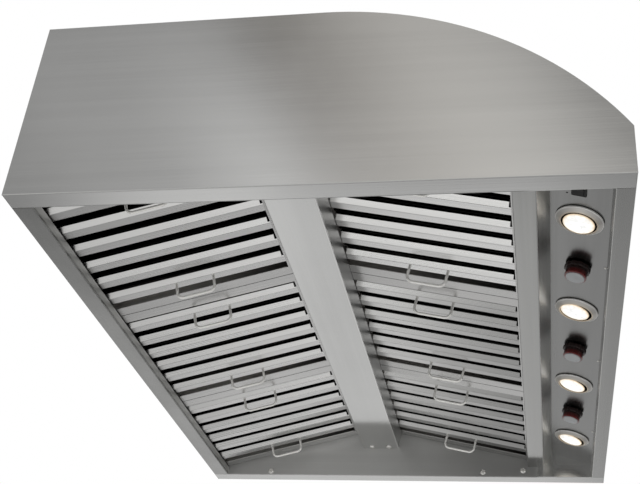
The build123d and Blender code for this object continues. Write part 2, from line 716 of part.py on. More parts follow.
with BuildPart() as damper_rods:
    for sx in (-1, 1):
        with BuildSketch(Plane(origin=(sx * blower_x - 99.8, duct_y, damper_z), x_dir=(0, 1, 0), z_dir=(1, 0, 0))):
            Circle(damper_rod_r)
        extrude(amount=199.6)
save(damper_rods, "damper_rods")

# ---------------------------------------------------------------------------
# Junction box under the conduit knockout
# ---------------------------------------------------------------------------
with BuildPart() as junction_box:
    with BuildSketch(Plane.XY.offset(z_top)):
        with Locations((0, conduit_y)):
            Rectangle(112, 72)
    extrude(amount=-44.0)
    with BuildSketch(Plane.XY.offset(z_top - sheet)):
        with Locations((0, conduit_y)):
            Rectangle(112 - 2 * sheet, 72 - 2 * sheet)
    extrude(amount=-44.0, mode=Mode.SUBTRACT)
    with BuildSketch(Plane.XY.offset(z_top)):
        with Locations((0, conduit_y)):
            Circle(conduit_r)
    extrude(amount=-4.0, mode=Mode.SUBTRACT)
save(junction_box, "junction_box")

with BuildPart() as junction_box_cover:
    with BuildSketch(Plane.XY.offset(z_top - 44.0)):
        with Locations((0, conduit_y)):
            RectangleRounded(118, 78, 4)
    extrude(amount=-sheet)
save(junction_box_cover, "junction_box_cover")

# ---------------------------------------------------------------------------
# Pan-head screws
# ---------------------------------------------------------------------------
with BuildPart() as screws:
    for x, y in rail_screws:                              # rail to its brackets, heads below
        with BuildSketch(Plane(origin=(x, y, rail_z), x_dir=(1, 0, 0), z_dir=(0, 0, -1))):
            Circle(head_r)
        extrude(amount=head_h, taper=12)
        with BuildSketch(Plane.XY.offset(rail_z)):
            with Locations((x, y)):
                Circle(2.0)
        extrude(amount=7.0)
    for sx in (-1, 1):                                    # inner folds, heads inside the hood
        for y, z in wall_screws:
            with BuildSketch(Plane(origin=(sx * XI, y, z), x_dir=(0, 1, 0), z_dir=(-sx, 0, 0))):
                Circle(head_r)
            extrude(amount=head_h, taper=12)
            with BuildSketch(Plane(origin=(sx * XI, y, z), x_dir=(0, 1, 0), z_dir=(-sx, 0, 0))):
                Circle(2.0)
            extrude(amount=-9.0)
    for x in panel_screw_x:                               # front edge of the light panel
        with BuildSketch(panel_plane(x, panel_screw_a)):
            Circle(2.4)
        extrude(amount=1.5, taper=12)
        with BuildSketch(panel_plane(x, panel_screw_a)):
            Circle(1.3)
        extrude(amount=-7.0)
    for x, y in collar_screws:                            # collars through the top panel
        with BuildSketch(Plane.XY.offset(height + sheet)):
            with Locations((x, y)):
                Circle(4.2)
        extrude(amount=2.4, taper=12)
        with BuildSketch(Plane.XY.offset(height + sheet)):
            with Locations((x, y)):
                Circle(2.0)
        extrude(amount=-8.0)
save(screws, "screws")
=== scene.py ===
from math import sin, cos, radians, pi, sqrt, atan2

import bmesh
import bpy
from mathutils import Matrix, Vector


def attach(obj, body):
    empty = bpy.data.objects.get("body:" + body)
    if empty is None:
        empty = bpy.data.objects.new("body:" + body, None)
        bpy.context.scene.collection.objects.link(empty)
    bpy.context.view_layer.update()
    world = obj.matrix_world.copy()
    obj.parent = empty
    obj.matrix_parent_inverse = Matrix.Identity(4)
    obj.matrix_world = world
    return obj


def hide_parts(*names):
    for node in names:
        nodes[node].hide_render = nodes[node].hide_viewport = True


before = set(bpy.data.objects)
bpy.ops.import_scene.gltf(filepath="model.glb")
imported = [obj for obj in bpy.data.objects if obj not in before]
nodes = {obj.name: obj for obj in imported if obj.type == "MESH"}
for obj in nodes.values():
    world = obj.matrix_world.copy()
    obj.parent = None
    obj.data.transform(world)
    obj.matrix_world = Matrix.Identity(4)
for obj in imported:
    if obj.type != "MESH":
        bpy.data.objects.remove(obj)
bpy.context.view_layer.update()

scene = bpy.context.scene

# ---------------------------------------------------------------------------
# Sizes repeated from the CAD, in metres
# ---------------------------------------------------------------------------
W2, D2, H = 0.6096, 0.4572, 0.329
XI = W2 - 0.036
TILT = radians(15.4)
PS, PC = sin(TILT), cos(TILT)
PANEL_Y, PANEL_Z, PANEL_MID = -0.342, 0.0566, 0.0455
Y_RET = -D2 + 0.0272
PANEL_W = (PANEL_Y - Y_RET) / PC
LAMP_X = (-0.431, -0.147, 0.157, 0.442)
KNOB_X = (-0.293, 0.0, 0.293)
NORMAL = Vector((0, PS, -PC))          # out of the light panel, down and rearwards
ACROSS = Vector((0, -PC, -PS))         # along the panel towards the front rim
AX = Vector((1, 0, 0))


def panel_point(x, across=PANEL_MID, drop=0.0):
    return Vector((x, PANEL_Y, PANEL_Z)) + ACROSS * across + NORMAL * drop


# ---------------------------------------------------------------------------
# Material building blocks
# ---------------------------------------------------------------------------
def start(name):
    m = bpy.data.materials.new(name)
    m.use_nodes = True
    nt = m.node_tree
    return m, nt, nt.nodes["Principled BSDF"]


def add(nt, kind, **inputs):
    n = nt.nodes.new(kind)
    for k, v in inputs.items():
        n.inputs[k.replace("_", " ")].default_value = v
    return n


def object_coords(nt, rot=(0, 0, 0), scale=(1, 1, 1)):
    tc = nt.nodes.new("ShaderNodeTexCoord")
    out = tc.outputs["Object"]
    if any(rot):
        r = nt.nodes.new("ShaderNodeMapping")
        r.inputs["Rotation"].default_value = rot
        nt.links.new(out, r.inputs["Vector"])
        out = r.outputs["Vector"]
    s = nt.nodes.new("ShaderNodeMapping")
    s.inputs["Scale"].default_value = scale
    nt.links.new(out, s.inputs["Vector"])
    return s.outputs["Vector"]


def noise(nt, vec, scale, detail=3.0, rough=0.5):
    n = nt.nodes.new("ShaderNodeTexNoise")
    n.inputs["Scale"].default_value = scale
    n.inputs["Detail"].default_value = detail
    n.inputs["Roughness"].default_value = rough
    nt.links.new(vec, n.inputs["Vector"])
    return n.outputs["Fac"]


def ranged(nt, value, a, b, c, d, smooth=False):
    n = nt.nodes.new("ShaderNodeMapRange")
    n.interpolation_type = "SMOOTHSTEP" if smooth else "LINEAR"
    n.inputs["From Min"].default_value = a
    n.inputs["From Max"].default_value = b
    n.inputs["To Min"].default_value = c
    n.inputs["To Max"].default_value = d
    nt.links.new(value, n.inputs["Value"])
    return n.outputs["Result"]


def math(nt, op, a, b=0.0):
    n = nt.nodes.new("ShaderNodeMath")
    n.operation = op
    for i, v in enumerate((a, b)):
        if isinstance(v, (int, float)):
            n.inputs[i].default_value = v
        else:
            nt.links.new(v, n.inputs[i])
    return n.outputs[0]


def mix(nt, fac, a, b, blend="MIX"):
    n = nt.nodes.new("ShaderNodeMix")
    n.data_type = "RGBA"
    n.blend_type = blend
    if isinstance(fac, (int, float)):
        n.inputs[0].default_value = fac
    else:
        nt.links.new(fac, n.inputs[0])
    for i, v in ((6, a), (7, b)):
        if isinstance(v, tuple):
            n.inputs[i].default_value = (*v, 1.0)[:4]
        else:
            nt.links.new(v, n.inputs[i])
    return n.outputs[2]


def ramp(nt, fac, stops):
    n = nt.nodes.new("ShaderNodeValToRGB")
    els = n.color_ramp.elements
    while len(els) < len(stops):
        els.new(0.5)
    for e, (p, c) in zip(els, stops):
        e.position = p
        e.color = (*c, 1.0)[:4] if isinstance(c, tuple) else (c, c, c, 1.0)
    nt.links.new(fac, n.inputs["Fac"])
    return n.outputs["Color"]


def bump(nt, height, strength, distance):
    n = nt.nodes.new("ShaderNodeBump")
    n.inputs["Strength"].default_value = strength
    n.inputs["Distance"].default_value = distance
    nt.links.new(height, n.inputs["Height"])
    return n.outputs["Normal"]


def shade(tint, k):
    return tuple(min(1.0, c * k) for c in tint)


GRAIN = {"x": (1.6, 520.0, 520.0), "y": (520.0, 1.6, 520.0), "z": (520.0, 520.0, 1.6)}
BANDS = {"x": (1.1, 46.0, 46.0), "y": (46.0, 1.1, 46.0), "z": (46.0, 46.0, 1.1)}


def brushed(name, tint, rough, grain="x", rot=(0, 0, 0), streak=0.10, band=0.05, mottle=0.04, depth=0.10, dark=None, dull=None, soft=None):
    """Brushed stainless sheet: fine lines along the grain, soft bands, faint handling marks."""
    m, nt, p = start(name)
    fine = noise(nt, object_coords(nt, rot, GRAIN[grain]), 1.0, 5.0, 0.6)
    bands = noise(nt, object_coords(nt, rot, BANDS[grain]), 1.0, 2.0, 0.5)
    marks = noise(nt, object_coords(nt), 5.5, 4.0, 0.6)
    col = mix(nt, fine, shade(tint, 1 - streak), shade(tint, 1 + streak))
    col = mix(nt, ranged(nt, bands, 0.3, 0.7, 0, 1), mix(nt, 1.0, col, (1 - band,) * 3, "MULTIPLY"), mix(nt, 1.0, col, (1 + band,) * 3, "MULTIPLY"))
    col = mix(nt, ranged(nt, marks, 0.35, 0.7, 0, 1), mix(nt, 1.0, col, (1 - mottle,) * 3, "MULTIPLY"), col)
    if dark is not None:
        col = dark(nt, col)
    nt.links.new(col, p.inputs["Base Color"])
    r = math(nt, "ADD", ranged(nt, fine, 0.25, 0.75, rough - 0.03, rough + 0.05), ranged(nt, marks, 0.3, 0.75, -0.015, 0.03))
    if soft is not None:
        r = math(nt, "ADD", r, soft(nt))
    nt.links.new(r, p.inputs["Roughness"])
    p.inputs["Metallic"].default_value = 1.0
    if dull is not None:
        nt.links.new(dull(nt), p.inputs["Metallic"])
    nt.links.new(bump(nt, fine, depth, 0.0003), p.inputs["Normal"])
    return m


def plastic(name, tint, rough, speck=0.12, scale=900.0, depth=0.06, coat=0.0, gloss=0.5, stain=None):
    """Moulded plastic: fine texture, slightly uneven gloss."""
    m, nt, p = start(name)
    fine = noise(nt, object_coords(nt), scale, 3.0, 0.55)
    wide = noise(nt, object_coords(nt), 40.0, 3.0, 0.5)
    col = mix(nt, wide, shade(tint, 1 - speck), shade(tint, 1 + speck))
    if stain is not None:
        col = stain(nt, col)
    nt.links.new(col, p.inputs["Base Color"])
    nt.links.new(math(nt, "ADD", ranged(nt, fine, 0.3, 0.7, rough - 0.04, rough + 0.06), ranged(nt, wide, 0.3, 0.7, -0.02, 0.03)), p.inputs["Roughness"])
    nt.links.new(bump(nt, fine, depth, 0.0002), p.inputs["Normal"])
    p.inputs["Specular IOR Level"].default_value = gloss
    if coat:
        p.inputs["Coat Weight"].default_value = coat
        p.inputs["Coat Roughness"].default_value = 0.08
    return m


def zinc(name, tint):
    """Zinc coated sheet with its crystal spangle."""
    m, nt, p = start(name)
    v = nt.nodes.new("ShaderNodeTexVoronoi")
    v.inputs["Scale"].default_value = 95.0
    nt.links.new(object_coords(nt), v.inputs["Vector"])
    cell = nt.nodes.new("ShaderNodeSeparateColor")
    nt.links.new(v.outputs["Color"], cell.inputs["Color"])
    wide = noise(nt, object_coords(nt), 9.0, 3.0)
    col = mix(nt, cell.outputs["Red"], shade(tint, 0.86), shade(tint, 1.12))
    col = mix(nt, ranged(nt, wide, 0.35, 0.7, 0, 1), mix(nt, 1.0, col, (0.93, 0.94, 0.95), "MULTIPLY"), col)
    nt.links.new(col, p.inputs["Base Color"])
    nt.links.new(ranged(nt, cell.outputs["Green"], 0, 1, 0.34, 0.52), p.inputs["Roughness"])
    p.inputs["Metallic"].default_value = 1.0
    nt.links.new(bump(nt, wide, 0.08, 0.001), p.inputs["Normal"])
    return m


def polished(name, tint, rough, scale=300.0, metal=1.0):
    """Drawn or turned bright metal with faint draw marks."""
    m, nt, p = start(name)
    n = noise(nt, object_coords(nt), scale, 3.0, 0.6)
    w = noise(nt, object_coords(nt), 30.0, 2.0)
    nt.links.new(mix(nt, w, shade(tint, 0.93), shade(tint, 1.05)), p.inputs["Base Color"])
    nt.links.new(ranged(nt, n, 0.3, 0.7, rough - 0.04, rough + 0.06), p.inputs["Roughness"])
    p.inputs["Metallic"].default_value = metal
    nt.links.new(bump(nt, n, 0.05, 0.0002), p.inputs["Normal"])
    return m


# ---------------------------------------------------------------------------
# Materials
# ---------------------------------------------------------------------------
def by_place(axis, a, b, c, d, smooth=True):
    """A value that runs from c to d between two places along an axis, X taken as a distance from the middle."""
    def apply(nt):
        tc = nt.nodes.new("ShaderNodeTexCoord")
        sep = nt.nodes.new("ShaderNodeSeparateXYZ")
        nt.links.new(tc.outputs["Object"], sep.inputs[0])
        v = sep.outputs[axis]
        if axis == "X":
            v = math(nt, "ABSOLUTE", v)
        return ranged(nt, v, a, b, c, d, smooth)

    return apply


def toned(axis, stops, inside=None):
    """Multiplies the tint along an axis; stops are (place, factor). Inside, only near the middle of the hood."""
    def apply(nt, col):
        a, b = stops[0][0], stops[-1][0]
        at = by_place(axis, a, b, 0.0, 1.0, False)(nt)
        k = ramp(nt, at, [((q - a) / (b - a), f) for q, f in stops])
        new = mix(nt, 1.0, col, k, "MULTIPLY")
        if inside is None:
            return new
        return mix(nt, by_place("X", inside, inside + 0.0014, 1.0, 0.0)(nt), col, new)

    return apply


def fold_soft(nt):
    """The inner folds are satin behind the filters and brighter beside the light panel."""
    satin = by_place("Y", -0.300, -0.315, 0.34, 0.02)(nt)
    return math(nt, "MULTIPLY", satin, by_place("X", 0.5754, 0.5768, 1.0, 0.0)(nt))


def outer(axis, k):
    """Painted light and shade: the outside faces of the roof and the back are tinted k times brighter than the
    inside, so the inside reads as painted shade.
    """
    def apply(nt, col):
        if axis == "Z":
            # painted highlight: a narrow strip along the front return, low down, is painted 1.7 times brighter
            edge = toned("Y", [(-0.434, 1.0), (-0.4312, 1.0), (-0.4304, 1.7), (-0.4285, 1.7), (-0.4275, 1.0), (-0.425, 1.0)])(nt, col)
            col = mix(nt, by_place("Z", 0.0335, 0.0345, 1.0, 0.0)(nt), col, edge)
            face = by_place("Y", -D2 + 0.0006, -D2 + 0.0003, 0.0, 1.0)(nt)
            face = math(nt, "MAXIMUM", face, by_place("Z", 0.036, 0.060, 0.0, 1.0)(nt))
        else:
            face = by_place("Y", D2 - 0.0006, D2 - 0.0003, 0.0, 1.0)(nt)
        painted_bright = mix(nt, 1.0, col, (k, k, k), "MULTIPLY")
        if axis == "Y":
            # painted reflection: the drip lip is painted 1.9 times brighter than the rim under it
            col = mix(nt, by_place("Z", 0.003, 0.007, 0.0, 1.0)(nt), col, mix(nt, 1.0, col, (1.9, 1.9, 1.9), "MULTIPLY"))
        return mix(nt, face, col, painted_bright)

    return apply


def knob_red(nt, col):
    """The dark moulding turns deep red towards its ring."""
    tc = nt.nodes.new("ShaderNodeTexCoord")
    dot = nt.nodes.new("ShaderNodeVectorMath")
    dot.operation = "DOT_PRODUCT"
    dot.inputs[1].default_value = NORMAL
    nt.links.new(tc.outputs["Object"], dot.inputs[0])
    base = panel_point(0.0).dot(NORMAL)
    return mix(nt, ranged(nt, dot.outputs["Value"], base + 0.011, base + 0.017, 0.0, 1.0, True), col, (0.050, 0.0050, 0.0050))


STEEL = (0.60, 0.60, 0.59)
mats = {
    # the inner folds, the rail's sides and the trough's slope are satin, the rest is finer
    # painted light and shade: the side panels' inner walls are painted from 0.66 to 1.22 times their tint along the
    # hood
    "side": brushed("steel_side", STEEL, 0.13, "y", streak=0.05, band=0.025, soft=fold_soft,
                    dark=toned("Y", [(-0.44, 1.15), (-0.33, 1.15), (-0.30, 0.66), (-0.18, 0.72), (-0.04, 1.0), (0.08, 1.20), (0.20, 1.22), (0.33, 1.0), (0.45, 0.95)], 0.5754)),
    "roof": brushed("steel_roof", (0.44, 0.44, 0.43), 0.24, "x", streak=0.07, band=0.03, dark=outer("Z", 1.55)),
    # painted highlight: a narrow strip along the rail's fold is painted 1.6 times brighter
    "rail": brushed("steel_rail", STEEL, 0.10, "x", streak=0.05, band=0.02, soft=by_place("Z", 0.0690, 0.0705, 0.0, 0.26),
                    dark=toned("Y", [(0.010, 1.0), (0.0140, 1.0), (0.0147, 1.6), (0.0158, 1.6), (0.0168, 1.0), (0.020, 1.0)])),
    # painted light: the trough's slope is painted 1.9 times brighter than its bottom
    "trough": brushed("steel_trough", (0.40, 0.40, 0.39), 0.12, "x", streak=0.06, band=0.03, soft=by_place("Y", -0.3215, -0.3235, 0.0, 0.22),
                      dark=toned("Y", [(-0.344, 1.9), (-0.3235, 1.9), (-0.3215, 1.0), (-0.28, 1.0)])),
    "panel": brushed("steel_panel", (0.25, 0.25, 0.246), 0.22, "x", streak=0.06, band=0.03),
    "rear": brushed("steel_rear", (0.42, 0.42, 0.41), 0.22, "x", streak=0.06, band=0.04, mottle=0.22, dark=outer("Y", 1.65), soft=by_place("Z", 0.002, 0.006, 0.0, 0.20)),
    "screw": polished("screw_steel", (0.80, 0.79, 0.76), 0.17, metal=0.88),
    "wire": polished("handle_wire", (0.88, 0.87, 0.84), 0.14, metal=0.55),
    "zinc": zinc("galvanised", (0.58, 0.60, 0.61)),
    "wheel": brushed("wheel_alu", (0.62, 0.63, 0.64), 0.36, "x"),
    "shaft": polished("shaft_steel", (0.66, 0.66, 0.66), 0.16),
    "motor": plastic("motor_enamel", (0.035, 0.037, 0.04), 0.42, 0.15, 350.0, 0.12),
    "holder": plastic("holder_moulding", (0.78, 0.76, 0.70), 0.55, 0.06),
    "control": plastic("control_moulding", (0.03, 0.03, 0.032), 0.48),
    "knob": plastic("knob_dark", (0.012, 0.0058, 0.0054), 0.26, 0.2, 700.0, 0.05, gloss=0.34, stain=knob_red),
    "red": plastic("knob_red", (0.10, 0.008, 0.008), 0.22, 0.15, 700.0, 0.04, coat=0.4),
    "seal": plastic("seal_rubber", (0.008, 0.008, 0.008), 0.62, 0.2, 500.0, 0.1),
    "switch": plastic("switch_black", (0.007, 0.007, 0.007), 0.6),
    "can": plastic("can_black", (0.006, 0.006, 0.006), 0.55),
}


def turned_cap():
    """Silver disc with fine turning rings."""
    m, nt, p = start("knob_silver")
    n = noise(nt, object_coords(nt), 260.0, 4.0, 0.6)
    w = noise(nt, object_coords(nt), 60.0, 2.0)
    nt.links.new(mix(nt, w, (0.36, 0.37, 0.375), (0.46, 0.47, 0.475)), p.inputs["Base Color"])
    nt.links.new(ranged(nt, n, 0.3, 0.7, 0.36, 0.5), p.inputs["Roughness"])
    p.inputs["Metallic"].default_value = 0.85
    nt.links.new(bump(nt, n, 0.1, 0.0002), p.inputs["Normal"])
    return m


mats["cap"] = turned_cap()

# Filters: each row has its own slope; above the slats the passages get painted shade
SLOPES = {}
for row, low, high in (("rear", (0.4165, 0.0222), (0.1053, 0.1046)), ("front", (-0.2856, 0.0410), (0.0077, 0.1030))):
    d = Vector((0, high[0] - low[0], high[1] - low[1])).normalized()
    n = Vector((0, -d.z, d.y)) if d.y > 0 else Vector((0, d.z, -d.y))
    SLOPES[row] = (Vector((0, low[0], low[1])), d, n)


def depth_in(nt, row, a, b, c, d):
    """Runs from c to d between two distances above the row's underside."""
    origin, _, n = SLOPES[row]
    offset = origin.dot(n)
    tc = nt.nodes.new("ShaderNodeTexCoord")
    dot = nt.nodes.new("ShaderNodeVectorMath")
    dot.operation = "DOT_PRODUCT"
    dot.inputs[1].default_value = n
    nt.links.new(tc.outputs["Object"], dot.inputs[0])
    return ranged(nt, dot.outputs["Value"], offset + a, offset + b, c, d, True)


def depth_painted_shade(row, tone, a, b, light=None):
    """Painted shade: darkens what lies deep inside a filter, above the slats where little light reaches, most
    towards the user's side.
    """
    def apply(nt, col):
        deep = tone
        if light is not None:
            _, d, _ = SLOPES[row]
            y0, y1 = (0.11, 0.36) if row == "rear" else (-0.27, -0.02)
            deep = mix(nt, by_place("Y", y0, y1, 0.0, 1.0)(nt), tone, light)
            deep = mix(nt, depth_in(nt, row, 0.027, 0.033, 0, 1), deep, (0.010, 0.009, 0.008))
        return mix(nt, depth_in(nt, row, a, b, 0, 1), col, deep)

    return apply


def slope_painted_tone(row, after):
    """Painted light and shade along the slope: the rear row is painted lighter at its high end and darker at its low
    end, the front row's slats in the middle and right filters darker towards their low end.
    """
    def apply(nt, col):
        if row == "rear":
            col = toned("Y", [(0.10, 1.18), (0.22, 1.08), (0.34, 0.96), (0.44, 0.84)])(nt, col)
        if row == "front_painted_dim":
            col = toned("Y", [(-0.29, 0.54), (-0.23, 0.60), (-0.15, 0.72), (-0.06, 0.92), (0.02, 1.0)])(nt, col)
        return after(nt, col)

    return apply


def depth_dull(row, a, b, c):
    def apply(nt):
        return depth_in(nt, row, a, b, 1.0, c)

    return apply


for row in ("rear", "front"):
    _, d, _ = SLOPES[row]
    lean = atan2(d.z, d.y)
    tint, tone, light = ((0.66, 0.655, 0.645), 0.10, 0.62) if row == "rear" else ((0.54, 0.535, 0.525), 0.06, 0.42)
    tone, light = (tone, tone * 0.92, tone * 0.86), (light, light * 0.95, light * 0.90)
    for use in ((row,) if row == "rear" else (row, "front_painted_dim")):
        mats[f"slat_{use}"] = brushed(f"slat_{use}", (0.80, 0.795, 0.785), 0.27, "y", rot=(-lean, 0, 0), streak=0.05, band=0.03, mottle=0.05, dark=slope_painted_tone(use, depth_painted_shade(row, (0.012, 0.011, 0.010), 0.0165, 0.0200)))
    mats[f"frame_{row}"] = brushed(f"frame_{row}", tint, 0.24, "y", rot=(-lean, 0, 0), streak=0.05, band=0.03, mottle=0.05, dark=slope_painted_tone(row, depth_painted_shade(row, tone, 0.002, 0.008, light)), dull=depth_dull(row, 0.002, 0.006, 0.25))


def lens_material():
    """Lit reflector lamp: moulded facets, warm towards the edge."""
    m, nt, p = start("lamp_lens")
    at = nt.nodes.new("ShaderNodeAttribute")
    at.attribute_name = "radius"
    v = nt.nodes.new("ShaderNodeTexVoronoi")
    v.inputs["Scale"].default_value = 170.0
    nt.links.new(object_coords(nt), v.inputs["Vector"])
    glow = ramp(nt, at.outputs["Fac"], [(0.0, (0.99, 1.0, 1.0)), (0.6, (1.0, 0.995, 0.975)), (0.86, (1.0, 0.965, 0.90)), (0.95, (0.95, 0.82, 0.64)), (1.0, (0.66, 0.50, 0.33))])
    facet = ranged(nt, v.outputs["Distance"], 0.0, 0.9, 1.06, 0.82)
    cell = nt.nodes.new("ShaderNodeSeparateColor")
    nt.links.new(v.outputs["Color"], cell.inputs["Color"])
    strength = math(nt, "MULTIPLY", facet, ranged(nt, cell.outputs["Red"], 0, 1, 0.72, 0.97))
    p.inputs["Base Color"].default_value = (0.9, 0.88, 0.82, 1)
    nt.links.new(mix(nt, 1.0, glow, (0.3, 0.3, 0.3), "MULTIPLY"), p.inputs["Base Color"])
    nt.links.new(glow, p.inputs["Emission Color"])
    nt.links.new(strength, p.inputs["Emission Strength"])
    nt.links.new(ranged(nt, v.outputs["Distance"], 0, 1, 0.12, 0.25), p.inputs["Roughness"])
    nt.links.new(bump(nt, v.outputs["Distance"], 0.4, 0.001), p.inputs["Normal"])
    return m


def bezel_material():
    """Spun stainless ring with a warm painted glow from the lit lens on its inner lip and a painted highlight along
    its outer rim.
    """
    m, nt, p = start("bezel_steel")
    at = nt.nodes.new("ShaderNodeAttribute")
    at.attribute_name = "radius"
    n = noise(nt, object_coords(nt), 500.0, 3.0, 0.6)
    w = noise(nt, object_coords(nt), 40.0, 2.0)
    # painted light: warm glow next to the lens and a bright highlight at the outer rim
    tone = ramp(nt, at.outputs["Fac"], [(0.0, (0.64, 0.61, 0.57)), (0.745, (0.74, 0.62, 0.47)), (0.785, (0.66, 0.60, 0.52)), (0.84, (0.60, 0.575, 0.54)), (0.955, (0.60, 0.585, 0.565)), (0.975, (0.90, 0.89, 0.87)), (1.0, (0.90, 0.89, 0.87))])
    nt.links.new(mix(nt, w, mix(nt, 1.0, tone, (0.92, 0.92, 0.92), "MULTIPLY"), tone), p.inputs["Base Color"])
    nt.links.new(ranged(nt, n, 0.3, 0.7, 0.30, 0.42), p.inputs["Roughness"])
    p.inputs["Metallic"].default_value = 0.75
    nt.links.new(bump(nt, n, 0.05, 0.0002), p.inputs["Normal"])
    return m


mats["bezel"] = bezel_material()
mats["lens"] = lens_material()


def paint(node, key):
    o = nodes[node]
    o.data.materials.clear()
    o.data.materials.append(mats[key])


for node in nodes:
    if node.startswith("filter_"):
        row = node.split("_")[1]
        kind = node.rsplit("_", 1)[1]
        use = row if row == "rear" or "_left_" in node else "front_painted_dim"
        paint(node, {"frame": f"frame_{row}", "baffles": f"slat_{use}", "handles": "wire"}[kind])
    elif node.startswith("knob_"):
        paint(node, {"body": "knob", "ring": "red", "cap": "cap"}[node.rsplit("_", 1)[1]])
    elif node in ("left_side_panel", "right_side_panel"):
        paint(node, "side")
    elif node in ("front_visor", "top_panel"):
        paint(node, "roof")
    elif node == "rear_panel":
        paint(node, "rear")
    elif node == "center_rail":
        paint(node, "rail")
    elif node == "front_trough":
        paint(node, "trough")
    elif node == "light_panel":
        paint(node, "panel")
    elif node == "light_bezels":
        paint(node, "bezel")
    elif node == "lamps":
        paint(node, "lens")
    elif node == "lamp_gaskets":
        paint(node, "seal")
    elif node == "lampholders":
        paint(node, "holder")
    elif node == "rotary_controls":
        paint(node, "control")
    elif node in ("rocker_frame", "rocker_paddle"):
        paint(node, "switch")
    elif node == "screws":
        paint(node, "screw")
    elif node == "blower_motors":
        paint(node, "motor")
    elif node.startswith("impeller"):
        paint(node, "wheel")
    elif node.startswith("rotor_shaft") or node == "damper_rods":
        paint(node, "shaft")
    else:
        paint(node, "zinc")


# ---------------------------------------------------------------------------
# Pieces turned on a lathe
# ---------------------------------------------------------------------------
class Shell:
    """Collects faces with a material index, then becomes one object."""

    def __init__(self):
        self.bm = bmesh.new()
        self.radius = self.bm.verts.layers.float.new("radius")

    def turn(self, origin, axis, side, profile, segs=72, facets=None, lens_r=None):
        """Revolves (r, h, material) points about an axis; r = 0 closes the end."""
        axis = axis.normalized()
        side = side.normalized()
        other = axis.cross(side)
        rings = []
        for r, h, _ in profile:
            if r <= 1e-9:
                v = self.bm.verts.new(origin + axis * h)
                v[self.radius] = 0.0
                rings.append([v])
                continue
            ring = []
            for i in range(segs):
                a = 2 * pi * i / segs
                v = self.bm.verts.new(origin + axis * h + (side * cos(a) + other * sin(a)) * r)
                v[self.radius] = min(1.0, r / lens_r) if lens_r else 0.0
                ring.append(v)
            rings.append(ring)
        for k in range(len(rings) - 1):
            a, b, mi = rings[k], rings[k + 1], profile[k][2]
            for i in range(segs):
                j = (i + 1) % segs
                quad = [a[0] if len(a) == 1 else a[i]]
                if len(a) > 1:
                    quad.append(a[j])
                quad.append(b[0] if len(b) == 1 else b[j])
                if len(b) > 1:
                    quad.append(b[i])
                if len(quad) > 2:
                    f = self.bm.faces.new(quad)
                    f.material_index = mi
                    f.smooth = True
        return rings

    def done(self, name, keys, sharp=35.0):
        bmesh.ops.recalc_face_normals(self.bm, faces=self.bm.faces)
        limit = radians(sharp)
        for e in self.bm.edges:
            if len(e.link_faces) == 2 and e.calc_face_angle(0.0) > limit:
                e.smooth = False
        me = bpy.data.meshes.new(name)
        self.bm.to_mesh(me)
        self.bm.free()
        for k in keys:
            me.materials.append(mats[k])
        ob = bpy.data.objects.new(name, me)
        scene.collection.objects.link(ob)
        return ob


# Bezels: spun ring with a rolled edge and the dark can behind it
bezels = Shell()
for x in LAMP_X:
    mm = 0.001
    prof = [(27.4, -60.0, 1), (27.4, 2.5, 1), (27.4, 6.6, 0), (27.55, 7.5, 0), (27.9, 7.95, 0), (28.5, 8.1, 0), (29.1, 7.85, 0), (29.4, 7.65, 0), (31.0, 6.7, 0),
            (33.2, 5.38, 0), (35.4, 4.06, 0), (35.9, 3.78, 0), (36.5, 3.6, 0), (37.0, 3.3, 0), (37.35, 2.6, 0), (37.4, 1.05, 0),
            (29.5, 1.05, 1), (29.5, -62.0, 1), (10.2, -62.0, 1), (10.2, -60.0, 1), (27.4, -60.0, 1)]
    low = 1.0 if x < -0.4 else 0.92
    prof = [(r, 3.0 + (h - 3.0) * low if h > 3.0 else h, k) for r, h, k in prof]
    bezels.turn(panel_point(x), NORMAL, AX, [(r * mm, h * mm, k) for r, h, k in prof], 96, lens_r=0.0374)
bmesh.ops.remove_doubles(bezels.bm, verts=bezels.bm.verts, dist=1e-6)
ob = bezels.done("light_bezels_spun", ["bezel", "can"])
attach(ob, "hood"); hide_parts("light_bezels")

# Lamps: faceted lens in a dark reflector shell, each one swivelled a little in its can
lamps = Shell()
for x, swivel, lean, shift, lift, size in zip(LAMP_X, (0.0, 4.0, 5.0, 5.0), (-21.0, -7.0, -7.0, -7.0), (0.2, -1.7, -1.7, -1.7), (4.8, 1.6, 1.6, 1.6), (1.03, 1.0, 1.0, 1.0)):
    mm = 0.001
    tip = Matrix.Rotation(radians(lean), 3, ACROSS) @ Matrix.Rotation(radians(swivel), 3, AX)
    axis = tip @ NORMAL
    prof = [(0, 8.6, 0), (4, 8.55, 0), (9, 8.3, 0), (14, 7.9, 0), (18.5, 7.3, 0), (21.5, 6.75, 0), (24.0, 6.1, 0), (25.2, 5.4, 0), (25.5, 4.8, 1), (25.5, 1.0, 1),
            (20, -12, 1), (11, -32, 1), (9.8, -34, 1), (9.8, -38 if lean < -20 else -54, 1), (0, -38 if lean < -20 else -54, 1)]
    prof = [(r * size if r > 15 else r, h, k) for r, h, k in prof]
    lamps.turn(panel_point(x, drop=lift * mm) + ACROSS * (shift * mm), axis, AX, [(r * mm, h * mm, k) for r, h, k in prof], 72, lens_r=0.0252 * size)
ob = lamps.done("lamps_faceted", ["lens", "can"], 60.0)
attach(ob, "hood"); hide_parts("lamps")

# Screws: domed pan heads with a cross recess
screws = Shell()


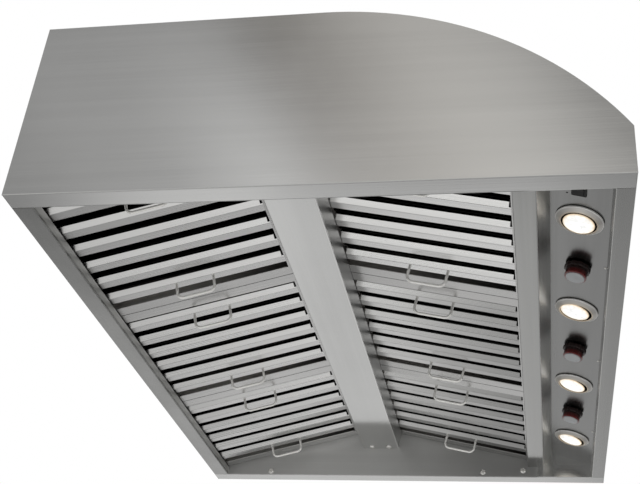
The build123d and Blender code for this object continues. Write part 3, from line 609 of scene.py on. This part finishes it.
def screw(at, out, turn_deg, head_r=4.2, head_h=2.4, shank_r=2.0, shank=6.5):
    out = Vector(out).normalized()
    side = out.orthogonal().normalized()
    side = Matrix.Rotation(radians(turn_deg), 3, out) @ side
    mm = 0.001
    k = head_r / 4.2
    dome = [(0, head_h, 0), (0.55 * k, head_h, 0), (1.0 * k, head_h * 0.99, 0), (1.5 * k, head_h * 0.975, 0), (2.0 * k, head_h * 0.94, 0), (2.6 * k, head_h * 0.87, 0),
            (3.2 * k, head_h * 0.75, 0), (3.7 * k, head_h * 0.58, 0), (4.0 * k, head_h * 0.38, 0), (4.2 * k, head_h * 0.14, 0), (4.2 * k, 0.0, 0),
            (shank_r, 0.0, 0), (shank_r, -shank, 0), (0, -shank, 0)]
    rings = screws.turn(Vector(at), out, side, [(r * mm, h * mm, m) for r, h, m in dome], 32)
    for r_i, (r, h, _) in enumerate(dome[:6]):
        for i, v in enumerate(rings[r_i]):
            a = 2 * pi * i / 32
            arm = min(abs(sin(a)), abs(cos(a))) * r
            if r <= 2.05 * k and arm < 0.42 * k:
                v.co -= out * (0.9 * mm * (1.0 if r < 1.6 * k else 0.55))


for sx in (-1, 1):
    for y in (0.03625, 0.07625):
        screw((sx * (XI - 0.010), y, 0.0671), (0, 0, -1), 20 + 35 * sx + 400 * y, 7.0, 3.4)
    for y, z in ((0.318, 0.009), (-0.1845, 0.011), (-0.276, 0.015)):
        screw((sx * XI, y, z), (-sx, 0, 0), 15 + 200 * y, 7.0, 3.4)
for x in (-0.304, 0.036, 0.381):
    screw(panel_point(x, PANEL_W - 0.0026), NORMAL, 30 + 90 * x, 2.4, 1.5, 1.3, 6.5)
for sx in (-1, 1):
    for ax in (-1, 1):
        for ay in (-1, 1):
            screw((sx * 0.2 + ax * 0.08, 0.2068 + ay * 0.08, H + 0.0015), (0, 0, 1), 25 * ax + 40 * ay)
ob = screws.done("screws_cross_recess", ["screw"], 40.0)
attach(ob, "hood"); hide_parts("screws")

# ---------------------------------------------------------------------------
# Floor, light, camera
# ---------------------------------------------------------------------------
bm = bmesh.new()
bmesh.ops.create_circle(bm, cap_ends=True, radius=16.0, segments=96)
me = bpy.data.meshes.new("floor")
bm.to_mesh(me); bm.free()
floor = bpy.data.objects.new("floor", me)
floor.location = (0, 0, -3.9)
scene.collection.objects.link(floor)
m, nt, p = start("floor_pale")
n = noise(nt, object_coords(nt), 0.6, 3.0)
nt.links.new(mix(nt, n, (0.80, 0.80, 0.79), (0.84, 0.84, 0.83)), p.inputs["Base Color"])
p.inputs["Roughness"].default_value = 0.9
p.inputs["Emission Color"].default_value = (1, 1, 1, 1)
p.inputs["Emission Strength"].default_value = 0.35
floor.data.materials.append(m)
floor.visible_glossy = False

world = bpy.data.worlds.new("studio")
scene.world = world
world.use_nodes = True
nt = world.node_tree
nt.nodes.clear()
tc = nt.nodes.new("ShaderNodeTexCoord")
sep = nt.nodes.new("ShaderNodeSeparateXYZ")
nt.links.new(tc.outputs["Generated"], sep.inputs[0])
X, Y, Z = sep.outputs


def step(v, a, b):
    return ranged(nt, v, a, b, 0.0, 1.0, True)


def times(*v):
    out = v[0]
    for w in v[1:]:
        out = math(nt, "MULTIPLY", out, w)
    return out


def grey(v):
    c = nt.nodes.new("ShaderNodeCombineColor")
    for i in range(3):
        nt.links.new(v, c.inputs[i])
    return c.outputs[0]


# softboxes behind the camera, seen in the end panel: a neutral one and a warmer one with a gap between
u = math(nt, "SUBTRACT", Y, math(nt, "MULTIPLY", Z, 0.583))
fade = ranged(nt, Z, 0.57, 0.69, 1.12, 0.86)
left = math(nt, "ADD", ranged(nt, u, 0.08, 0.155, 0.46, 0.355, True), times(step(u, 0.02, -0.09), step(Z, 0.70, 0.56), 0.34))
t = ranged(nt, u, -0.5, 0.0, 0.0, 1.0)
warm = ramp(nt, t, [(0.0, (0.34, 0.335, 0.33)), (0.135, (0.38, 0.375, 0.365)), (0.225, (0.67, 0.66, 0.64)), (0.31, (0.76, 0.745, 0.72)), (0.41, (0.78, 0.76, 0.73)), (0.54, (0.60, 0.58, 0.555)), (0.63, (0.41, 0.395, 0.375)), (0.69, (0.36, 0.345, 0.33)), (0.76, (0.31, 0.30, 0.29)), (1.0, (0.31, 0.30, 0.29))])
lift = times(step(Z, 0.67, 0.56), step(u, -0.26, -0.14), 0.18)
warm = mix(nt, 1.0, warm, grey(lift), "ADD")
behind = mix(nt, 1.0, mix(nt, step(u, -0.15, -0.10), warm, grey(left)), grey(fade), "MULTIPLY")
# low light beyond the far end, seen in the slats, rail and rims
low = ramp(nt, ranged(nt, Y, -0.5, 0.75, 0.0, 1.0), [(0.0, 0.36), (0.30, 0.42), (0.345, 0.50), (0.385, 0.68), (0.415, 0.76), (0.48, 0.74), (0.56, 0.74), (0.62, 0.95), (0.69, 0.80), (0.76, 0.36), (1.0, 0.2)])
low = mix(nt, times(step(Y, 0.20, 0.27), step(Z, -0.43, -0.36), 0.24), low, (0.0, 0.0, 0.0))
low = mix(nt, step(Z, -0.562, -0.628), low, (0.22, 0.22, 0.22))
base = mix(nt, step(Z, 0.55, 0.9), mix(nt, step(Z, -0.9, 0.1), (0.42, 0.42, 0.42), (0.55, 0.55, 0.55)), (0.92, 0.92, 0.92))
sky = mix(nt, times(step(X, -0.5, -0.8), step(Z, 0.36, 0.15), step(Z, -0.5, -0.25)), base, (1.0, 1.0, 0.99))
sky = mix(nt, times(step(X, -0.3, -0.6), step(Z, -0.15, -0.38)), sky, (0.22, 0.22, 0.22))
# the floor straight below: brighter under the near end, seen in the slats' sloping sides
near = mix(nt, step(Y, 0.0, 0.3), (0.74, 0.74, 0.735), (1.10, 1.10, 1.09))
far = mix(nt, step(Y, 0.0, 0.3), (0.46, 0.46, 0.455), (0.32, 0.32, 0.315))
below = mix(nt, step(X, 0.03, -0.12), far, near)
sky = mix(nt, times(step(Z, -0.72, -0.84), step(X, 0.5, 0.36)), sky, below)
# a pale wall to the front, seen in the rear drip lip and along the rail's fold
sky = mix(nt, times(step(X, 0.55, 0.7), step(Z, -0.24, -0.16), step(Z, 0.08, 0.0), step(Y, -0.72, -0.66), step(Y, -0.28, -0.33)), sky, (0.86, 0.86, 0.85))
sky = mix(nt, times(step(X, -0.25, -0.45), step(Z, 0.28, 0.42), step(Z, 0.97, 0.85)), sky, behind)
sky = mix(nt, times(step(X, 0.35, 0.55), step(Z, -0.12, -0.25)), sky, low)
lit = add(nt, "ShaderNodeBackground")
nt.links.new(sky, lit.inputs["Color"])
white = add(nt, "ShaderNodeBackground", Color=(1, 1, 1, 1))
path = nt.nodes.new("ShaderNodeLightPath")
both = nt.nodes.new("ShaderNodeMixShader")
nt.links.new(path.outputs["Is Camera Ray"], both.inputs[0])
nt.links.new(lit.outputs[0], both.inputs[1])
nt.links.new(white.outputs[0], both.inputs[2])
out = nt.nodes.new("ShaderNodeOutputWorld")
nt.links.new(both.outputs[0], out.inputs["Surface"])

for i, x in enumerate(LAMP_X):
    l = bpy.data.lights.new(f"lamp_beam_{i}", "SPOT")
    l.energy = 0.5
    l.color = (1.0, 0.86, 0.66)
    l.spot_size = radians(110)
    l.spot_blend = 0.8
    l.shadow_soft_size = 0.02
    o = bpy.data.objects.new(l.name, l)
    o.location = panel_point(x, drop=0.012)
    o.rotation_mode = "QUATERNION"
    o.rotation_quaternion = NORMAL.to_track_quat("-Z", "Y")
    scene.collection.objects.link(o)

cam = bpy.data.cameras.new("camera")
cam.sensor_width = 36.0
cam.lens = 1068.64 * 36.0 / 640.0
cam.shift_x = (320.0 - 360.0) / 640.0
cam.shift_y = 0.0
cam.clip_start, cam.clip_end = 0.05, 60.0
eye = bpy.data.objects.new("camera", cam)
right = Vector((0.151994, -0.986259, 0.064744))
up = -Vector((0.529068, 0.025856, -0.848185))
back = -Vector((0.834856, 0.163173, 0.525728))
eye.matrix_world = Matrix((
    (right.x, up.x, back.x, -1.81003),
    (right.y, up.y, back.y, -0.32079),
    (right.z, up.z, back.z, -0.85394),
    (0, 0, 0, 1),
))
scene.collection.objects.link(eye)
scene.camera = eye

scene.view_settings.view_transform = "Standard"
scene.view_settings.look = "None"
scene.view_settings.exposure = 0.0
scene.view_settings.gamma = 1.0
